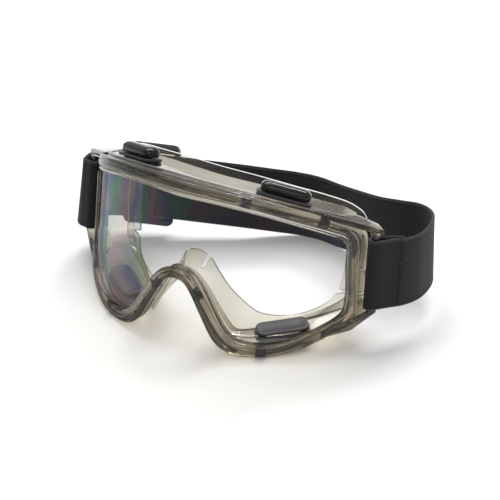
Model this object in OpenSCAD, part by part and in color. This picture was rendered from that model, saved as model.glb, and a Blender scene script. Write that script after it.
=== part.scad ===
// Over-glasses safety goggles with a wrap-round lens, four covered vents and an elastic headband.
// The goggles stand on a flat surface, leaning back a little. +X is the wearer's left, the lens
// faces -Y, +Z is up, and the origin is the middle of the footprint.

/* [Frame] */
// Radius of the vertical cylinder that the lens follows
lens_r = 85; // [82:1:120]
// Angle that the goggles lean back when they stand on a table
lean = 7.4; // [0:0.1:12]
// Depth of the rim from its front to where the shell starts
rim_depth = 9; // [8:0.5:12]
// Wall thickness of the moulded shell
shell_wall = 1.8; // [1.2:0.1:2.4]
// Thickness of the thin face skirt
skirt_wall = 1; // [0.8:0.1:1.4]

/* [Lens] */
// Thickness of the lens
lens_wall = 2.2; // [1.8:0.1:2.4]
// Width of each retaining tab on the lens edge
tab_w = 5; // [3:0.5:7]

/* [Vents] */
// Length of a vent's oval seat
vent_l = 29; // [24:1:32]
// Width of a vent's oval seat
vent_w = 13; // [10:1:15]
// Height of an upper vent's cap
cap_h = 5; // [4:0.5:7]
// Height of a lower vent's cap
low_cap_h = 2.2; // [2:0.1:3]

/* [Headband] */
// Width of the elastic webbing
band_w = 38; // [30:1:38]
// Thickness of the webbing
band_t = 1.4; // [1:0.1:1.6]
// Radius of the upright bar in each strap lug
bar_r = 2; // [1.5:0.1:2.2]

/* [Slide buckle] */
// Length of the buckle along the webbing
buckle_l = 27; // [24:1:30]
// Height of the buckle across the webbing
buckle_h = 46.6; // [45:0.2:50]
// Thickness of the buckle's two rails
buckle_t = 5; // [4.6:0.1:6]

/* [Hidden] */

smoke = [0.36, 0.34, 0.29, 0.75];
clear = [0.8, 0.85, 0.85, 0.35];
pale_smoke = [0.75, 0.74, 0.68, 0.5];
black = [0.06, 0.06, 0.065];
webbing = [0.12, 0.12, 0.13];

// The outlines are half outlines, from the top centre round one side to the bottom centre, and all
// of them step together, so that point k of one belongs with point k of the others.
// Edge of the opening that shows the lens: x, z
opening_half = [[0, 82.5], [20, 82.4], [40, 79.6], [57, 73.9], [68, 68], [73.6, 62], [74.5, 46], [75, 30],
    [73.3, 22.3], [64, 14.8], [53, 9.3], [42, 7.6], [32.5, 9], [26.5, 14.6], [18.5, 28], [11.5, 38],
    [5.5, 42.6], [0, 43.4]];
// Outside edge of the rim: x, z
rim_half = [[0, 91], [20.5, 90], [41, 86.6], [59, 80.8], [71, 75], [78, 66.5], [79, 46], [79, 28],
    [77.7, 18.5], [67.5, 9.8], [54, 3.2], [41.5, 1.2], [31, 2], [22.3, 7.7], [14.5, 21], [9, 30.8],
    [4.8, 35.9], [0, 37.2]];
// Line where the shell meets the skirt, near the face: x, y, z
face_half = [[0, 42, 81], [19, 44, 80.6], [37, 50, 78.3], [51, 58, 74.8], [61, 66, 71], [66.5, 71, 64],
    [67.5, 72.5, 46], [67, 71.5, 31], [64.5, 68, 21.5], [58, 62, 15], [49, 54, 10.5], [39, 43, 7.6],
    [31, 32, 6], [24, 22.5, 8], [15.5, 17, 22], [10, 14.5, 31.5], [5.2, 13.2, 36.6], [0, 13, 38]];
// Outside edge of the skirt's lip: x, y, z
lip_half = [[0, 42, 86], [19.6, 44, 85.4], [38.6, 50, 82.6], [53.2, 58, 79], [64.6, 66, 74], [70.6, 71, 65.5],
    [72, 72.5, 46], [71, 71.5, 30], [68, 68, 18.8], [60.4, 62, 12], [50.4, 54, 8.6], [39.4, 43, 6.6],
    [30.8, 32, 5], [23.2, 22.8, 6.8], [14.6, 17.4, 21.2], [9.2, 15, 30.6], [4.8, 13.7, 35.4], [0, 13.5, 36.8]];
// Inside edge of the skirt, round the eyes and over the nose: x, y, z
skirt_half = [[0, 42, 76], [18, 43.5, 75.5], [34, 48, 73], [46, 54.5, 70], [55, 62, 66], [60, 67, 59],
    [61, 68.5, 45], [60.2, 67.5, 30], [58.3, 64, 22], [53.8, 58.5, 17], [45.7, 52, 12.8], [36, 46, 10.8],
    [27.8, 41, 12], [20.8, 37.5, 17], [14, 32.5, 25.5], [10, 27.5, 35], [6.6, 24, 43], [0, 23.6, 45.4]];
// How many smooth steps there are between two outline points
steps = 3;
loop_n = 2 * (len(opening_half) - 1) * steps;

function mirrored(half) = concat(half, [for (k = [len(half) - 2:-1:1])
    [for (a = [0:len(half[k]) - 1]) a == 0 ? -half[k][0] : half[k][a]]]);
// Point on the smooth curve through b and c, a part t of the way from b to c
function curve_point(a, b, c, d, t) = 0.5 * (2 * b + (c - a) * t
    + (2 * a - 5 * b + 4 * c - d) * t * t + (3 * b - a - 3 * c + d) * t * t * t);
function smooth_loop(p) = let(n = len(p)) [for (k = [0:n - 1], s = [0:steps - 1])
    curve_point(p[(k + n - 1) % n], p[k], p[(k + 1) % n], p[(k + 2) % n], s / steps)];
function smooth_line(p, m) = let(n = len(p)) concat([for (k = [0:n - 2], s = [0:m - 1])
    curve_point(p[max(k - 1, 0)], p[k], p[k + 1], p[min(k + 2, n - 1)], s / m)], [p[n - 1]]);
function unit(v) = v / norm(v);
function mix(a, b, t) = a + (b - a) * t;
// Distance back from the front of the lens cylinder at x
function sag(x) = lens_r - sqrt(lens_r * lens_r - x * x);

opening = smooth_loop(mirrored(opening_half));
rim_edge = smooth_loop(mirrored(rim_half));
face_line = smooth_loop(mirrored(face_half));
lip_edge = smooth_loop(mirrored(lip_half));
skirt_edge = smooth_loop(mirrored(skirt_half));

// A loop round the rim: u is 0 at the opening and 1 at the outside, inward is the depth along the
// lens's own normal, and back is the depth towards the face
function rim_loop(u, inward, back) = [for (j = [0:loop_n - 1]) let(p = mix(opening[j], rim_edge[j], u),
    s = p[0] / lens_r) [p[0] - inward * s, sag(p[0]) + inward * sqrt(1 - s * s) + back, p[1]]];
function mix_loops(a, b, t) = [for (j = [0:loop_n - 1]) mix(a[j], b[j], t)];

// How far the lens and its groove reach into the rim
groove_u = 0.42;
lens_u = 0.36;
groove_front = 1.2;
lens_front = 1.3;
groove_back = groove_front + lens_wall + 0.2;
// Section of the rim: front lip, rounded bead, groove, rear ridge, back and lens groove
rim_section = [[0, 0.5, 0], [0.14, -0.3, 0], [0.5, -0.7, 0], [0.8, -0.2, 0], [1, 0, 1.2], [1, 0, 3.4],
    [0.93, 0, 4.4], [0.93, 0, 5.2], [1, 0, 6.2], [1, 0, rim_depth - 1], [0.88, 0, rim_depth],
    [0.16, groove_back, rim_depth - groove_back], [0.16, groove_back, 0], [groove_u, groove_back, 0],
    [groove_u, groove_front, 0], [0, groove_front, 0]];

// Closed ring through loops of equal length, in the order of the section's outline
module ring(loops) {
    m = len(loops);
    n = len(loops[0]);
    points = [for (l = loops) for (p = l) p];
    faces = [for (i = [0:m - 1], j = [0:n - 1]) let(a = i * n + j, b = i * n + (j + 1) % n,
        c = ((i + 1) % m) * n + (j + 1) % n, d = ((i + 1) % m) * n + j) each [[a, c, b], [a, d, c]]];
    polyhedron(points, faces);
}

// Outward normal of a sheet of loops at loop i, point j
function sheet_normal(rows, i, j) = let(n = len(rows[0]), r = len(rows),
    along = rows[i][(j + 1) % n] - rows[i][(j + n - 1) % n],
    across = rows[min(i + 1, r - 1)][j] - rows[max(i - 1, 0)][j]) unit(cross(along, across));
// The same sheet moved by d along its normals
function offset_rows(rows, d) = [for (i = [0:len(rows) - 1]) [for (j = [0:len(rows[0]) - 1])
    rows[i][j] + d * sheet_normal(rows, i, j)]];
// Ring of even thickness t on the inner side of a sheet of loops
module sheet(rows, t) {
    back = offset_rows(rows, -t);
    ring(concat(rows, [for (i = [len(rows) - 1:-1:0]) back[i]]));
}

// Lowest point of the upright goggles after they lean back, and the middle of the footprint
stand_lift = 1.25;
footprint_y = 70.6;
// Puts what is drawn upright, lens front at y = 0, in its standing place
module standing() {
    translate([0, -footprint_y, stand_lift]) rotate([-lean, 0, 0]) children();
}

// ---- Frame ----
// Places of the lens tabs along one half of the rim
tab_places = [5, 11, 32, 44];
// Across the rim at loop point j: x, z, turn about Z and turn in the lens surface
function tab_frame(j) = let(p = mix(opening[j], rim_edge[j], 0.55), d = rim_edge[j] - opening[j],
    turn = asin(p[0] / lens_r)) [p[0], p[1], turn, atan2(d[1], d[0] / cos(turn))];
// Tabs that hold the lens in the rim, the same on both sides
module lens_tabs(width, reach, gap) {
    for (k = tab_places, side = [0, 1]) {
        f = tab_frame(k);
        mirror([side, 0, 0]) translate([f[0], sag(f[0]), f[1]]) rotate([0, 0, f[2]]) rotate([0, -f[3], 0])
            translate([-reach / 2, lens_front - gap, -width / 2]) cube([reach, lens_wall + 2 * gap, width]);
    }
}

module frame_rim() {
    color(smoke) standing() difference() {
        ring([for (s = rim_section) rim_loop(s[0], s[1], s[2])]);
        lens_tabs(tab_w + 0.3, 4.6, 0.15);
    }
}

shell_front = rim_loop(0.84, 0, rim_depth);
// The floor of the shell arches up behind the rim, to make room for the lower vents' covers
floor_rise = 5;
arch_x = 46;
arch_half = 24;
function shell_loop(t) = [for (p = mix_loops(shell_front, face_line, t))
    p + [0, 0, floor_rise * max(0, 1 - pow((abs(p[0]) - arch_x) / arch_half, 2)) * (p[2] < 30 ? 1 : 0)]];
shell_rows = [shell_front, shell_loop(0.15), shell_loop(0.55), face_line];
// Frame on the shell, a part s of the way from loop point j to the next and t of the way between the
// two middle loops: along, back, out and place
function shell_frame(j, s, t) = let(middle = mix_loops(shell_rows[1], shell_rows[2], t),
    p = mix(middle[j], middle[j + 1], s), a = unit(middle[j + 1] - middle[j - 1]),
    n = unit(cross(a, face_line[j] - shell_front[j])), b = cross(n, a))
    [[a[0], b[0], n[0], p[0]], [a[1], b[1], n[1], p[1]], [a[2], b[2], n[2], p[2]], [0, 0, 0, 1]];
vent_places = [shell_frame(6, 0.5, 0.465), shell_frame(31, 0.4, 0.5)];
// Stands what is drawn on a vent's place, its length along X and outward along Z
module at_vent(low, right) {
    standing() mirror([right, 0, 0]) multmatrix(vent_places[low]) children();
}

// Bar with round ends, its length along X
module slot_bar(length, width, height) {
    translate([-(length - width) / 2, -width / 2, 0]) cube([length - width, width, height]);
    for (x = [-1, 1]) translate([x * (length - width) / 2, 0, 0]) cylinder(h = height, d = width, $fn = 32);
}

// Hole in the shell for a vent's neck, and the flat pad round it that the seat clips to
hole_l = vent_l - 6;
hole_w = vent_w - 6;
pad_edge = 1;
module vent_pad() {
    translate([0, 0, -shell_wall]) slot_bar(vent_l + 2 * pad_edge, vent_w + 2 * pad_edge, shell_wall);
}
module vent_hole() {
    translate([0, 0, -5]) slot_bar(hole_l, hole_w, 10);
    slot_bar(vent_l + 0.6, vent_w + 0.6, 6);
    translate([0, 0, -shell_wall - 4]) slot_bar(vent_l - 1, vent_w - 1, 4);
}
module frame_shell() {
    color(smoke) difference() {
        union() {
            standing() sheet(shell_rows, shell_wall);
            for (low = [0, 1], right = [0, 1]) at_vent(low, right) vent_pad();
        }
        for (low = [0, 1], right = [0, 1]) at_vent(low, right) vent_hole();
    }
}

// Nose tongue and temple flaps: slits in the thin skirt
slit_w = 1.1;
tongue_half = 6;
tongue_slit = 11;
temple_slits = [24.5, 36.5];
module face_skirt() {
    color(pale_smoke) standing() difference() {
        sheet([lip_edge, face_line, mix_loops(face_line, skirt_edge, 0.5), skirt_edge], skirt_wall);
        for (x = [-tongue_half, tongue_half]) translate([x - slit_w / 2, 27 - tongue_slit, 34])
            cube([slit_w, tongue_slit, 14]);
        for (side = [0, 1], z = temple_slits) mirror([side, 0, 0]) translate([54, 60, z - slit_w / 2])
            cube([9, 12, slit_w]);
    }
}

// Strap lug: two webs off the rim's corners with an upright bar between their tips
bar_x = 84;
bar_y = 55.5;
bar_low = 24;
bar_high = 67;
web_t = 3;
module web(points) {
    hull() for (p = points) translate(p) sphere(d = web_t, $fn = 14);
}
module strap_lug() {
    web([[65, 34.5, 77.6], [bar_x + 2.4, bar_y + 1.8, bar_high], [79.5, 64, 66.5], [70, 60, 70]]);
    web([[67.5, 36, 12], [76, 50, 14], [bar_x + 1.5, bar_y + 0.5, bar_low], [78.5, 62.5, 22], [73.5, 58, 16]]);
    translate([bar_x, bar_y, bar_low]) cylinder(h = bar_high - bar_low, r = bar_r, $fn = 32);
}
module strap_lug_left() {
    color(smoke) standing() strap_lug();
}
module strap_lug_right() {
    color(smoke) standing() mirror([1, 0, 0]) strap_lug();
}

// ---- Lens ----
lens_edge = [for (j = [0:loop_n / 2]) mix(opening[j], rim_edge[j], lens_u)];
side_j = 6 * steps;
top_z = [for (j = [0:side_j]) lens_edge[j]];
low_z = [for (j = [loop_n / 2:-1:side_j]) lens_edge[j]];
lens_columns = 24;
lens_x = [for (i = [-lens_columns:lens_columns]) lens_edge[side_j][0] * 0.998 * sin(90 * i / lens_columns)];
// Point of the lens at x of the reference cylinder, a depth inward, at height z
function lens_point(x, inward, z) = let(s = x / lens_r)
    [x - inward * s, sag(x) + inward * sqrt(1 - s * s), z];
module lens() {
    n = len(lens_x);
    points = [for (inward = [lens_front, lens_front + lens_wall], x = lens_x)
        each [lens_point(x, inward, lookup(abs(x), low_z)), lens_point(x, inward, lookup(abs(x), top_z))]];
    sides = [for (i = [0:n - 2]) let(a = 2 * i, b = 2 * n + 2 * i) each [
        [a, a + 1, a + 3, a + 2], [b, b + 2, b + 3, b + 1],
        [a, a + 2, b + 2, b], [a + 1, b + 1, b + 3, a + 3]]];
    ends = [[0, 2 * n, 2 * n + 1, 1], [2 * n - 2, 2 * n - 1, 4 * n - 1, 4 * n - 2]];
    color(clear) standing() {
        polyhedron(points, concat(sides, ends));
        lens_tabs(tab_w, 4, 0);
    }
}

// ---- Vents ----
seat_t = 1.4;
air_slot = 1.2;
// Seat: oval flange outside the shell, neck through it with an air slot, and a retaining plate inside
module vent_seat() {
    difference() {
        union() {
            translate([0, 0, 0.2]) slot_bar(vent_l, vent_w, seat_t);
            translate([0, 0, -3]) slot_bar(hole_l - 0.4, hole_w - 0.4, 4);
            translate([0, 0, -3.6]) slot_bar(vent_l - 2.4, vent_w - 2, seat_t);
        }
        translate([0, 0, -5]) slot_bar(hole_l - 4, air_slot, 10);
    }
}
// Cap: hollow hood with rounded top that stands on two feet, so that air passes under its edge
module vent_cap(height) {
    cap_l = vent_l - 3;
    cap_w = vent_w - 3.5;
    round_r = min(2, height - 0.6);
    difference() {
        hull() {
            translate([0, 0, seat_t + 0.9]) slot_bar(cap_l, cap_w, height - round_r);
            translate([0, 0, seat_t + 0.9]) slot_bar(cap_l - 2 * round_r, cap_w - 2 * round_r, height);
        }
        translate([0, 0, seat_t]) slot_bar(cap_l - 3, cap_w - 3, height - 0.6);
    }
    for (x = [-1, 1]) translate([x * (cap_l / 2 - 2.2) - 1, -1.5, seat_t + 0.2]) cube([2, 3, 2]);
}
module vent_seat_top_left() { color(black) at_vent(0, 0) vent_seat(); }
module vent_seat_top_right() { color(black) at_vent(0, 1) vent_seat(); }
module vent_seat_bottom_left() { color(black) at_vent(1, 0) vent_seat(); }
module vent_seat_bottom_right() { color(black) at_vent(1, 1) vent_seat(); }
module vent_cap_top_left() { color(black) at_vent(0, 0) vent_cap(cap_h); }
module vent_cap_top_right() { color(black) at_vent(0, 1) vent_cap(cap_h); }
module vent_cap_bottom_left() { color(black) at_vent(1, 0) vent_cap(low_cap_h); }
module vent_cap_bottom_right() { color(black) at_vent(1, 1) vent_cap(low_cap_h); }

// ---- Headband ----
// Lower edge of the webbing before the footprint is centred: x, y, z, then how far its upper edge is
// shifted in x and y. It runs from the end sewn beside the left lug, round that lug's bar, round the
// back, and straight through the buckle from band_b to band_a; then round the right lug's bar and
// back to the buckle.
band_a = [-81.5, 90, 11];
band_b = [-26, 119, 4];
run = band_b - band_a;
run_dir = unit(run);
run_out = unit([-run[1], run[0], 0]);
// Shift of the upper edge where the webbing hugs a lug's bar, which leans with the goggles
tip = band_w * sin(lean);
loop_left = [[93.2, 73.6, 15.6, 0, 3], [88.2, 67.4, 16.6, 0, tip], [83.4, 62.9, 17.4, 0, tip],
    [81, 59.5, 17.8, 0, tip], [81.3, 56.2, 18.2, 0, tip], [84, 54.9, 18.4, 0, tip], [86.9, 57.4, 18.2, 0, tip],
    [90.4, 64.3, 17, 0, tip], [94.5, 73, 15.3, 0, 3], [97, 83, 14, 0, 2]];
band_back = [[96.8, 92, 13, 0, 1], [95.4, 101, 12.6, 0, 0], [92, 109.5, 12, 0, 0], [86, 116, 11, 0, 0],
    [78, 119.4, 10, 0, 0], [66.7, 120.6, 8, 0, 0], [53.3, 123.3, 5, 0, 0], [38, 128.6, 1.8, 0, 0],
    [24, 133.4, -0.7, 0, 0], [10, 136, -1.25, 0, 0], [-2, 133.8, -0.7, 0, 0], [-13, 127.5, 1.2, 0, 0]];
through = [for (t = [0:0.25:1]) concat(mix(band_b, band_a, t), [0, 0])];
loop_right = [[-88.6, 85.4, 12.4, 1, 0], [-93.4, 78.4, 13.8, 2, 1], [-95.4, 70, 15.2, 3, 2],
    [-94, 62, 16.6, 3, 3], [-89.8, 57, 17.8, 1, 4], [-86.3, 55.4, 18.4, 0, tip], [-83.4, 54.8, 18.4, 0, tip],
    [-81.1, 56.6, 18.2, 0, tip], [-81, 59.7, 17.8, 0, tip]];
// Place on the straight run, a distance from band_a and some way to the inside
function beside_run(distance, inside) = concat(band_a + run_dir * distance - run_out * inside, [0, 0]);
ply_gap = 2;
return_ply = concat([[-82.6, 63.8, 17.2, 0, tip], [-86.8, 69.7, 16, 1, 3], [-88.2, 76, 14.4, 1, 1],
    [-85.6, 82.4, 12.9, 0, 0]], [for (d = [1.2, 4.4, 7.6]) beside_run(d, ply_gap)]);
band_steps = 2;
band_line = smooth_line(concat(loop_left, band_back, through, loop_right, return_ply), band_steps);
left_end = len(loop_left) * band_steps;
back_end = left_end + (len(band_back) + len(through) - 1) * band_steps;
right_end = back_end + (len(loop_right) + 1) * band_steps;

// The band's four corners at point i of its line
function band_ring(i) = let(p = band_line[i], n = len(band_line) - 1,
    d = band_line[min(i + 1, n)] - band_line[max(i - 1, 0)], side = unit([-d[1], d[0], 0]) * band_t / 2,
    foot = [p[0], p[1], p[2]], up = [p[3], p[4], sqrt(band_w * band_w - p[3] * p[3] - p[4] * p[4])])
    [foot + side, foot - side, foot + up - side, foot + up + side];
// Stretch of the band between two points of its line
module band(first, last) {
    n = last - first;
    points = [for (i = [first:last]) each band_ring(i)];
    faces = [for (i = [0:n - 1], k = [0:3]) let(a = 4 * i + k, b = 4 * i + (k + 1) % 4) each [
        [a, b + 4, a + 4], [a, b, b + 4]]];
    color(webbing) translate([0, -footprint_y, stand_lift])
        polyhedron(points, concat(faces, [[3, 2, 1, 0], [4 * n, 4 * n + 1, 4 * n + 2, 4 * n + 3]]));
}
module headband_loop_left() { band(0, left_end); }
module headband_back() { band(left_end, back_end); }
module headband_loop_right() { band(back_end, right_end); }
module headband_return_ply() { band(right_end, len(band_line) - 1); }

// ---- Slide buckle ----
// Distance of the buckle's middle from band_a, and how far it rides above the band's middle
buckle_at = 13.5;
buckle_up = 0.8;
// Stands what is drawn on the straight run: X along it, Y out from the head, Z up the band's width
module on_band(distance) {
    up = cross(run_dir, run_out);
    at = band_a + run_dir * distance + [0, -footprint_y, stand_lift + band_w / 2 + buckle_up];
    multmatrix([[run_dir[0], run_out[0], up[0], at[0]], [run_dir[1], run_out[1], up[1], at[1]],
        [run_dir[2], run_out[2], up[2], at[2]], [0, 0, 0, 1]]) children();
}
module block(size, at) {
    translate(at) cube(size, center = true);
}
// Tri-glide buckle: two rails, an end bar outside the band at each end and a centre bar inside it
module slide_buckle() {
    corner_r = 4;
    end_w = 3.4;
    centre_w = 5;
    clear_h = band_w + 2.2;
    channel = band_t + 1;
    side_w = (buckle_l - centre_w) / 2;
    color(black) on_band(buckle_at) difference() {
        rotate([90, 0, 0]) translate([0, 0, -buckle_t / 2]) union() {
            cube_l = buckle_l - 2 * corner_r;
            cube_h = buckle_h - 2 * corner_r;
            translate([-cube_l / 2, -buckle_h / 2, 0]) cube([cube_l, buckle_h, buckle_t]);
            translate([-buckle_l / 2, -cube_h / 2, 0]) cube([buckle_l, cube_h, buckle_t]);
            for (x = [-1, 1], z = [-1, 1]) translate([x * cube_l / 2, z * cube_h / 2, 0])
                cylinder(h = buckle_t, r = corner_r, $fn = 32);
        }
        // channel for the band, the outer window, and the inner side open but for the centre bar
        block([buckle_l + 2, channel, clear_h], [0, 0, 0]);
        block([buckle_l - 2 * end_w, buckle_t, clear_h], [0, buckle_t / 2, 0]);
        for (x = [-1, 1]) block([side_w + 1, buckle_t, clear_h],
            [x * (centre_w + side_w + 1) / 2, -buckle_t / 2, 0]);
    }
}

// ---- Stitching ----
stitch_l = 2.4;
stitch_gap = 1.4;
stitch_d = 0.5;
// Row of stitches through both plies beside the left lug
module loop_stitching() {
    p = band_line[2];
    q = band_line[0];
    away = unit([q[1] - p[1], p[0] - q[0], 0]);
    start = mix(q, p, 0.4);
    color(webbing) for (z = [1:stitch_l + stitch_gap:band_w - stitch_l])
        translate([start[0], start[1] - footprint_y, start[2] + stand_lift + z] + away * (1.5 * band_t + 0.1))
            cylinder(h = stitch_l, d = stitch_d, $fn = 16);
}

frame_rim();
frame_shell();
face_skirt();
strap_lug_left();
strap_lug_right();
lens();
vent_seat_top_left();
vent_seat_top_right();
vent_seat_bottom_left();
vent_seat_bottom_right();
vent_cap_top_left();
vent_cap_top_right();
vent_cap_bottom_left();
vent_cap_bottom_right();
headband_back();
headband_loop_left();
headband_return_ply();
headband_loop_right();
loop_stitching();
slide_buckle();
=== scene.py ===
"""Looks of the over-glasses safety goggles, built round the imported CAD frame.

Design points are in millimetres, as in the part's source: x to the wearer's left, y back from the
lens front and z up, before the goggles lean back to stand on their lower rim.
"""

import math

import bmesh
import bpy
import numpy as np
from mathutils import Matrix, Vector
from mathutils.bvhtree import BVHTree


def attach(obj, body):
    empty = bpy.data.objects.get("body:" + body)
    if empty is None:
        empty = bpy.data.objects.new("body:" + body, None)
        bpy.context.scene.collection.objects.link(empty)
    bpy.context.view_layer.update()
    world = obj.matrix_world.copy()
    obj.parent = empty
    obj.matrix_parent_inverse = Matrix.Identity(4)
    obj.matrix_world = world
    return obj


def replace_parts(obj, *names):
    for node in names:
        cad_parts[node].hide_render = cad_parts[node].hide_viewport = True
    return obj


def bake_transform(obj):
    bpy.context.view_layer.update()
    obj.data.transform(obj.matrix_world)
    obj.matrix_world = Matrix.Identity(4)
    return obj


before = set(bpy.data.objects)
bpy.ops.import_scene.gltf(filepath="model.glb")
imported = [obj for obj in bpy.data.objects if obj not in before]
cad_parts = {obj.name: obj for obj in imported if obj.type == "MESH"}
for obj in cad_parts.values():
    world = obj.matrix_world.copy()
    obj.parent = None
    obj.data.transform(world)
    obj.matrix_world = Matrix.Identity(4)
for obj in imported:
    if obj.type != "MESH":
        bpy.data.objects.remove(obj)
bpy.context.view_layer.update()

MM = 0.001
LEAN = math.radians(7.4)
FOOTPRINT_Y = 70.6
STAND_LIFT = 1.25

LENS_R = 85
RIM_DEPTH = 9
SHELL_WALL = 1.8
SKIRT_WALL = 1.0
LENS_WALL = 2.2
LENS_FRONT = 1.3
TAB_W = 5
VENT_L = 29
VENT_W = 13
CAP_L = VENT_L - 3
CAP_W = VENT_W - 3.5
HOLE_L = VENT_L - 6
HOLE_W = VENT_W - 6
SEAT_T = 1.4
AIR_SLOT = 1.2
CAP_H = {"top": 5.0, "bottom": 2.2}
BAND_W = 38
BAND_T = 1.4
BAR_R = 2.0

# ---- Design outlines: half loops from the top centre round the wearer's left to the bottom centre
OPENING_HALF = [(0, 82.5), (20, 82.4), (40, 79.6), (57, 73.9), (68, 68), (73.6, 62), (74.5, 46), (75, 30),
                (73.3, 22.3), (64, 14.8), (53, 9.3), (42, 7.6), (32.5, 9), (26.5, 14.6), (18.5, 28),
                (11.5, 38), (5.5, 42.6), (0, 43.4)]
RIM_HALF = [(0, 91), (20.5, 90), (41, 86.6), (59, 80.8), (71, 75), (78, 66.5), (79, 46), (79, 28),
            (77.7, 18.5), (67.5, 9.8), (54, 3.2), (41.5, 1.2), (31, 2), (22.3, 7.7), (14.5, 21), (9, 30.8),
            (4.8, 35.9), (0, 37.2)]
FACE_HALF = [(0, 42, 81), (19, 44, 80.6), (37, 50, 78.3), (51, 58, 74.8), (61, 66, 71), (66.5, 71, 64),
             (67.5, 72.5, 46), (67, 71.5, 31), (64.5, 68, 21.5), (58, 62, 15), (49, 54, 10.5),
             (39, 43, 7.6), (31, 32, 6), (24, 22.5, 8), (15.5, 17, 22), (10, 14.5, 31.5),
             (5.2, 13.2, 36.6), (0, 13, 38)]
LIP_HALF = [(0, 42, 86), (19.6, 44, 85.4), (38.6, 50, 82.6), (53.2, 58, 79), (64.6, 66, 74),
            (70.6, 71, 65.5), (72, 72.5, 46), (71, 71.5, 30), (68, 68, 18.8), (60.4, 62, 12),
            (50.4, 54, 8.6), (39.4, 43, 6.6), (30.8, 32, 5), (23.2, 22.8, 6.8), (14.6, 17.4, 21.2),
            (9.2, 15, 30.6), (4.8, 13.7, 35.4), (0, 13.5, 36.8)]
SKIRT_HALF = [(0, 42, 76), (18, 43.5, 75.5), (34, 48, 73), (46, 54.5, 70), (55, 62, 66), (60, 67, 59),
              (61, 68.5, 45), (60.2, 67.5, 30), (58.3, 64, 22), (53.8, 58.5, 17), (45.7, 52, 12.8),
              (36, 46, 10.8), (27.8, 41, 12), (20.8, 37.5, 17), (14, 32.5, 25.5), (10, 27.5, 35),
              (6.6, 24, 43), (0, 23.6, 45.4)]

# Each design loop is split into COARSE steps in the part's source, and each of those into FINE here
COARSE = 3
FINE = 3
STEPS = COARSE * FINE
LOOP_N = 2 * (len(OPENING_HALF) - 1) * STEPS


# ---- Curves and lofts ----
def curve_point(a, b, c, d, t):
    """Point on the smooth curve through b and c, a part t of the way from b to c."""
    return 0.5 * (2 * b + (c - a) * t + (2 * a - 5 * b + 4 * c - d) * t ** 2
                  + (3 * b - a - 3 * c + d) * t ** 3)


def mirrored(half):
    """A whole loop from a half one, down the left side and up the right."""
    left = np.array(half, float)
    right = left[-2:0:-1].copy()
    right[:, 0] *= -1
    return np.vstack([left, right])


def smooth_loop(points, steps=STEPS):
    """Smooth closed curve through the points, each stretch in the given steps."""
    p = np.asarray(points, float)
    n = len(p)
    return np.array([curve_point(p[k - 1], p[k], p[(k + 1) % n], p[(k + 2) % n], s / steps)
                     for k in range(n) for s in range(steps)])


def smooth_line(points, steps):
    """Smooth open curve through the points."""
    p = np.asarray(points, float)
    n = len(p)
    line = [curve_point(p[max(k - 1, 0)], p[k], p[k + 1], p[min(k + 2, n - 1)], s / steps)
            for k in range(n - 1) for s in range(steps)]
    return np.array(line + [p[-1]])


def mix(a, b, t):
    """Point a part t of the way from a to b."""
    return a + (b - a) * t


def unit(v):
    """The vector, or each row of vectors, at length 1."""
    v = np.asarray(v, float)
    return v / np.linalg.norm(v, axis=-1, keepdims=True)


def sag(x):
    """Distance back from the front of the lens cylinder at x."""
    return LENS_R - np.sqrt(LENS_R ** 2 - x ** 2)


OPENING = smooth_loop(mirrored(OPENING_HALF))
RIM_EDGE = smooth_loop(mirrored(RIM_HALF))
FACE_LINE = smooth_loop(mirrored(FACE_HALF))
LIP_EDGE = smooth_loop(mirrored(LIP_HALF))
SKIRT_EDGE = smooth_loop(mirrored(SKIRT_HALF))


def rim_loop(u, inward, back):
    """Loop round the rim: u from 0 at the opening to 1 outside, inward along the lens's normal."""
    p = mix(OPENING, RIM_EDGE, u)
    s = p[:, 0] / LENS_R
    return np.stack([p[:, 0] - inward * s, sag(p[:, 0]) + inward * np.sqrt(1 - s ** 2) + back, p[:, 1]], 1)


def standing(points):
    """Upright design points in millimetres to the row frame in metres."""
    p = np.atleast_2d(np.asarray(points, float))
    y = p[:, 1] * math.cos(LEAN) + p[:, 2] * math.sin(LEAN) - FOOTPRINT_Y
    z = -p[:, 1] * math.sin(LEAN) + p[:, 2] * math.cos(LEAN) + STAND_LIFT
    return np.stack([p[:, 0], y, z], 1) * MM


def on_table(points):
    """Points of the headband, which isn't leaned, to the row frame in metres."""
    p = np.atleast_2d(np.asarray(points, float))
    return (p + [0, -FOOTPRINT_Y, STAND_LIFT]) * MM


def corners_cut(rows, passes=1):
    """Rounds a closed section: each pass cuts every corner at a quarter of its sides."""
    rows = np.asarray(rows, float)
    for _ in range(passes):
        after = np.roll(rows, -1, 0)
        pair = np.stack([0.75 * rows + 0.25 * after, 0.25 * rows + 0.75 * after], 1)
        rows = pair.reshape((-1,) + rows.shape[1:])
    return rows


def new_piece(name, points, faces, sharp=40, merge=1e-7):
    """Mesh object from points in metres, smooth but for edges sharper than the given angle."""
    mesh = bpy.data.meshes.new(name)
    mesh.from_pydata([tuple(p) for p in points], [], faces)
    piece = bpy.data.objects.new(name, mesh)
    bpy.context.scene.collection.objects.link(piece)
    tidy_mesh(mesh, sharp, merge)
    return piece


def tidy_mesh(mesh, sharp=40, merge=1e-7):
    """Merges points that meet, turns faces outward and marks the sharp edges."""
    bm = bmesh.new()
    bm.from_mesh(mesh)
    bmesh.ops.remove_doubles(bm, verts=bm.verts, dist=merge)
    bmesh.ops.recalc_face_normals(bm, faces=bm.faces)
    bm.to_mesh(mesh)
    bm.free()
    mesh.polygons.foreach_set("use_smooth", [True] * len(mesh.polygons))
    mesh.set_sharp_from_angle(angle=math.radians(sharp))


def loft_faces(rows, n, wrap_rows=True, wrap_loop=True):
    """Quads over a grid of rows with n points each."""
    last_row = rows if wrap_rows else rows - 1
    last = n if wrap_loop else n - 1
    return [(i * n + j, i * n + (j + 1) % n, ((i + 1) % rows) * n + (j + 1) % n, ((i + 1) % rows) * n + j)
            for i in range(last_row) for j in range(last)]


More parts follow.
